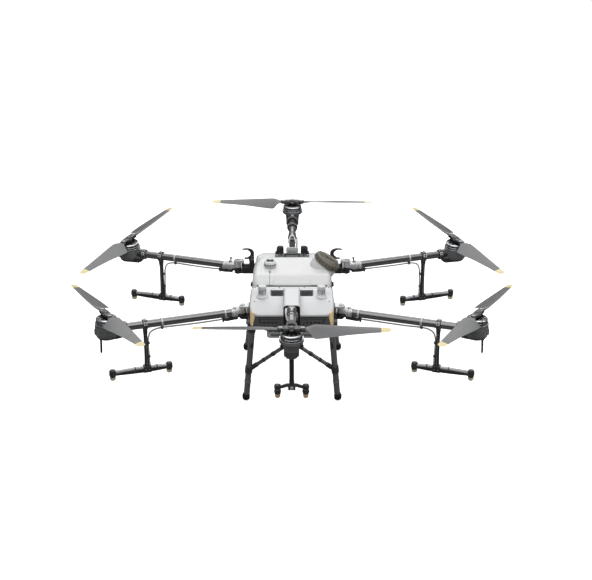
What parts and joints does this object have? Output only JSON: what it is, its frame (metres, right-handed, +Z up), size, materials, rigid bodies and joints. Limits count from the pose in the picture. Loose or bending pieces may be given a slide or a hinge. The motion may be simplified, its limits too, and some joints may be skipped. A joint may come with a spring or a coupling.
{
  "type": "agricultural spray drone",
  "caption": "Folding-arm multirotor crop sprayer: tank body on splayed legs, rotors with hinged blades at the ends of fold-out arms, and a spray lance hanging from each arm.",
  "frame": {"origin": "on the ground under the middle of the overall width and length, level with the soles of the feet", "axes": "+Z up, +Y from the nose towards the tail, +X across the machine, to the right in a view of the nose"},
  "size_m": [2.3866, 1.8592, 0.719],
  "materials": {
    "tank_white": "satin, slightly translucent blow-moulded plastic",
    "white_shell": "satin light grey-white moulded shell",
    "dark_cover": "dark grey moulded cover",
    "carbon": "woven carbon-fibre tube, clear coated",
    "moulded_grey": "mid grey moulded motor mount",
    "black_plastic": "black glass-filled nylon",
    "blade_grey": "mid grey composite blade with a pale yellow tip",
    "rotor_metal": "black anodised machined motor bell and hub",
    "collar_white": "bead-blasted silver casting",
    "lid_olive": "ribbed olive-grey filler lid",
    "hook_black": "black powder-coated bracket",
    "frame_black": "black bonded airframe",
    "battery_grey": "grey battery case",
    "cap_white": "white moulded cap",
    "lamp_orange": "orange lamp lens"
  },
  "bodies": {
    "root": {"tank": "tank_white", "centre_frame": "frame_black", "hinge_bracket_front_right": "hook_black", "hinge_bracket_front_left": "hook_black", "hinge_bracket_rear_right": "hook_black", "hinge_bracket_rear_left": "hook_black", "hinge_bracket_front": "collar_white", "hinge_bracket_back": "collar_white", "nose_spine_cover": "white_shell", "accent_lamp_right": "lamp_orange", "accent_lamp_left": "lamp_orange", "front_shell": "white_shell", "front_lower_cover": "dark_cover", "rear_cover": "white_shell", "cooling_grille": "black_plastic", "pump_unit": "white_shell", "landing_gear_right": "carbon", "landing_gear_left": "carbon", "catch_hook_right": "hook_black", "catch_hook_left": "hook_black"},
    "arm_front_left": {"arm_tube_front_left": "carbon", "motor_mount_front_left": "moulded_grey", "spray_lance_front_left": "black_plastic"},
    "rotor_front_left": {"rotor_hub_front_left": "rotor_metal"},
    "blade_front_left_a": {"blade_front_left_a": "blade_grey"},
    "blade_front_left_b": {"blade_front_left_b": "blade_grey"},
    "arm_front_right": {"arm_tube_front_right": "carbon", "motor_mount_front_right": "moulded_grey", "spray_lance_front_right": "black_plastic"},
    "rotor_front_right": {"rotor_hub_front_right": "rotor_metal"},
    "blade_front_right_a": {"blade_front_right_a": "blade_grey"},
    "blade_front_right_b": {"blade_front_right_b": "blade_grey"},
    "arm_rear_left": {"arm_tube_rear_left": "carbon", "motor_mount_rear_left": "moulded_grey", "spray_lance_rear_left": "black_plastic"},
    "rotor_rear_left": {"rotor_hub_rear_left": "rotor_metal"},
    "blade_rear_left_a": {"blade_rear_left_a": "blade_grey"},
    "blade_rear_left_b": {"blade_rear_left_b": "blade_grey"},
    "arm_rear_right": {"arm_tube_rear_right": "carbon", "motor_mount_rear_right": "moulded_grey", "spray_lance_rear_right": "black_plastic"},
    "rotor_rear_right": {"rotor_hub_rear_right": "rotor_metal"},
    "blade_rear_right_a": {"blade_rear_right_a": "blade_grey"},
    "blade_rear_right_b": {"blade_rear_right_b": "blade_grey"},
    "arm_front": {"arm_tube_front": "carbon", "motor_mount_front": "moulded_grey", "spray_lance_front": "black_plastic"},
    "rotor_front": {"rotor_hub_front": "rotor_metal"},
    "blade_front_a": {"blade_front_a": "blade_grey"},
    "blade_front_b": {"blade_front_b": "blade_grey"},
    "arm_back": {"arm_tube_back": "carbon", "motor_mount_back": "moulded_grey", "spray_lance_back": "black_plastic"},
    "rotor_back": {"rotor_hub_back": "rotor_metal"},
    "blade_back_a": {"blade_back_a": "blade_grey"},
    "blade_back_b": {"blade_back_b": "blade_grey"},
    "lid": {"tank_lid": "lid_olive"},
    "vent": {"vent_cap": "cap_white"},
    "battery": {"battery": "battery_grey"}
  },
  "joints": [
    {"name": "fold_front_left", "type": "hinge", "parent": "root", "child": "arm_front_left", "pos_m": [-0.258, -0.29222, 0.527], "axis": [0.0565, 0.0764, -0.9955], "range_deg": [0, 107.8]},
    {"name": "fold_front_right", "type": "hinge", "parent": "root", "child": "arm_front_right", "pos_m": [0.258, -0.29222, 0.527], "axis": [-0.0565, 0.0764, -0.9955], "range_deg": [-107.8, 0]},
    {"name": "fold_rear_left", "type": "hinge", "parent": "root", "child": "arm_rear_left", "pos_m": [-0.31, 0.29901, 0.527], "axis": [0.0559, -0.0783, -0.9954], "range_deg": [-105.8, 0]},
    {"name": "fold_rear_right", "type": "hinge", "parent": "root", "child": "arm_rear_right", "pos_m": [0.31, 0.29901, 0.527], "axis": [-0.0559, -0.0783, -0.9954], "range_deg": [0, 105.8]},
    {"name": "fold_front", "type": "hinge", "parent": "root", "child": "arm_front", "pos_m": [0, -0.4348, 0.573], "axis": [1, 0, 0], "range_deg": [0, 90]},
    {"name": "fold_back", "type": "hinge", "parent": "root", "child": "arm_back", "pos_m": [0, 0.4252, 0.573], "axis": [1, 0, 0], "range_deg": [-90, 0]},
    {"name": "spin_front_left", "type": "hinge", "parent": "arm_front_left", "child": "rotor_front_left", "pos_m": [-0.94812, -0.50418, 0.61484], "axis": [-0.0184, 0.0582, 0.9981], "continuous": true},
    {"name": "spin_front_right", "type": "hinge", "parent": "arm_front_right", "child": "rotor_front_right", "pos_m": [0.94812, -0.50418, 0.61484], "axis": [0.0184, 0.0582, 0.9981], "continuous": true},
    {"name": "spin_rear_left", "type": "hinge", "parent": "arm_rear_left", "child": "rotor_rear_left", "pos_m": [-0.94812, 0.49457, 0.61484], "axis": [-0.0184, -0.0582, 0.9981], "continuous": true},
    {"name": "spin_rear_right", "type": "hinge", "parent": "arm_rear_right", "child": "rotor_rear_right", "pos_m": [0.94812, 0.49457, 0.61484], "axis": [0.0184, -0.0582, 0.9981], "continuous": true},
    {"name": "spin_front", "type": "hinge", "parent": "arm_front", "child": "rotor_front", "pos_m": [0, -0.8648, 0.707], "axis": [0, 0, 1], "continuous": true},
    {"name": "spin_back", "type": "hinge", "parent": "arm_back", "child": "rotor_back", "pos_m": [0, 0.8552, 0.707], "axis": [0, 0, 1], "continuous": true},
    {"name": "blade_pin_front_left_a", "type": "hinge", "parent": "rotor_front_left", "child": "blade_front_left_a", "pos_m": [-0.97476, -0.45732, 0.61161], "axis": [-0.0184, 0.0582, 0.9981], "range_deg": [-85, 85]},
    {"name": "blade_pin_front_left_b", "type": "hinge", "parent": "rotor_front_left", "child": "blade_front_left_b", "pos_m": [-0.92147, -0.55104, 0.61806], "axis": [-0.0184, 0.0582, 0.9981], "range_deg": [-85, 85]},
    {"name": "blade_pin_front_right_a", "type": "hinge", "parent": "rotor_front_right", "child": "blade_front_right_a", "pos_m": [0.97476, -0.45732, 0.61161], "axis": [0.0184, 0.0582, 0.9981], "range_deg": [-85, 85]},
    {"name": "blade_pin_front_right_b", "type": "hinge", "parent": "rotor_front_right", "child": "blade_front_right_b", "pos_m": [0.92147, -0.55104, 0.61806], "axis": [0.0184, 0.0582, 0.9981], "range_deg": [-85, 85]},
    {"name": "blade_pin_rear_left_a", "type": "hinge", "parent": "rotor_rear_left", "child": "blade_rear_left_a", "pos_m": [-0.92397, 0.54277, 0.61809], "axis": [-0.0184, -0.0582, 0.9981], "range_deg": [-85, 85]},
    {"name": "blade_pin_rear_left_b", "type": "hinge", "parent": "rotor_rear_left", "child": "blade_rear_left_b", "pos_m": [-0.97227, 0.44639, 0.61158], "axis": [-0.0184, -0.0582, 0.9981], "range_deg": [-85, 85]},
    {"name": "blade_pin_rear_right_a", "type": "hinge", "parent": "rotor_rear_right", "child": "blade_rear_right_a", "pos_m": [0.92397, 0.54277, 0.61809], "axis": [0.0184, -0.0582, 0.9981], "range_deg": [-85, 85]},
    {"name": "blade_pin_rear_right_b", "type": "hinge", "parent": "rotor_rear_right", "child": "blade_rear_right_b", "pos_m": [0.97227, 0.44639, 0.61158], "axis": [0.0184, -0.0582, 0.9981], "range_deg": [-85, 85]},
    {"name": "blade_pin_front_a", "type": "hinge", "parent": "rotor_front", "child": "blade_front_a", "pos_m": [-0.05399, -0.86395, 0.707], "axis": [0, 0, 1], "range_deg": [-85, 85]},
    {"name": "blade_pin_front_b", "type": "hinge", "parent": "rotor_front", "child": "blade_front_b", "pos_m": [0.05399, -0.86565, 0.707], "axis": [0, 0, 1], "range_deg": [-85, 85]},
    {"name": "blade_pin_back_a", "type": "hinge", "parent": "rotor_back", "child": "blade_back_a", "pos_m": [-0.05399, 0.85614, 0.707], "axis": [0, 0, 1], "range_deg": [-85, 85]},
    {"name": "blade_pin_back_b", "type": "hinge", "parent": "rotor_back", "child": "blade_back_b", "pos_m": [0.05399, 0.85426, 0.707], "axis": [0, 0, 1], "range_deg": [-85, 85]},
    {"name": "lid_turn", "type": "hinge", "parent": "root", "child": "lid", "pos_m": [0.178, 0.0732, 0.634], "axis": [0.5446, 0, 0.8387], "range_deg": [0, 90]},
    {"name": "vent_turn", "type": "hinge", "parent": "root", "child": "vent", "pos_m": [-0.12, 0.0472, 0.647], "axis": [0, 0, 1], "range_deg": [0, 90]},
    {"name": "battery_lift", "type": "slide", "parent": "root", "child": "battery", "axis": [0, 0, 1], "range_m": [0, 0.16]}
  ]
}
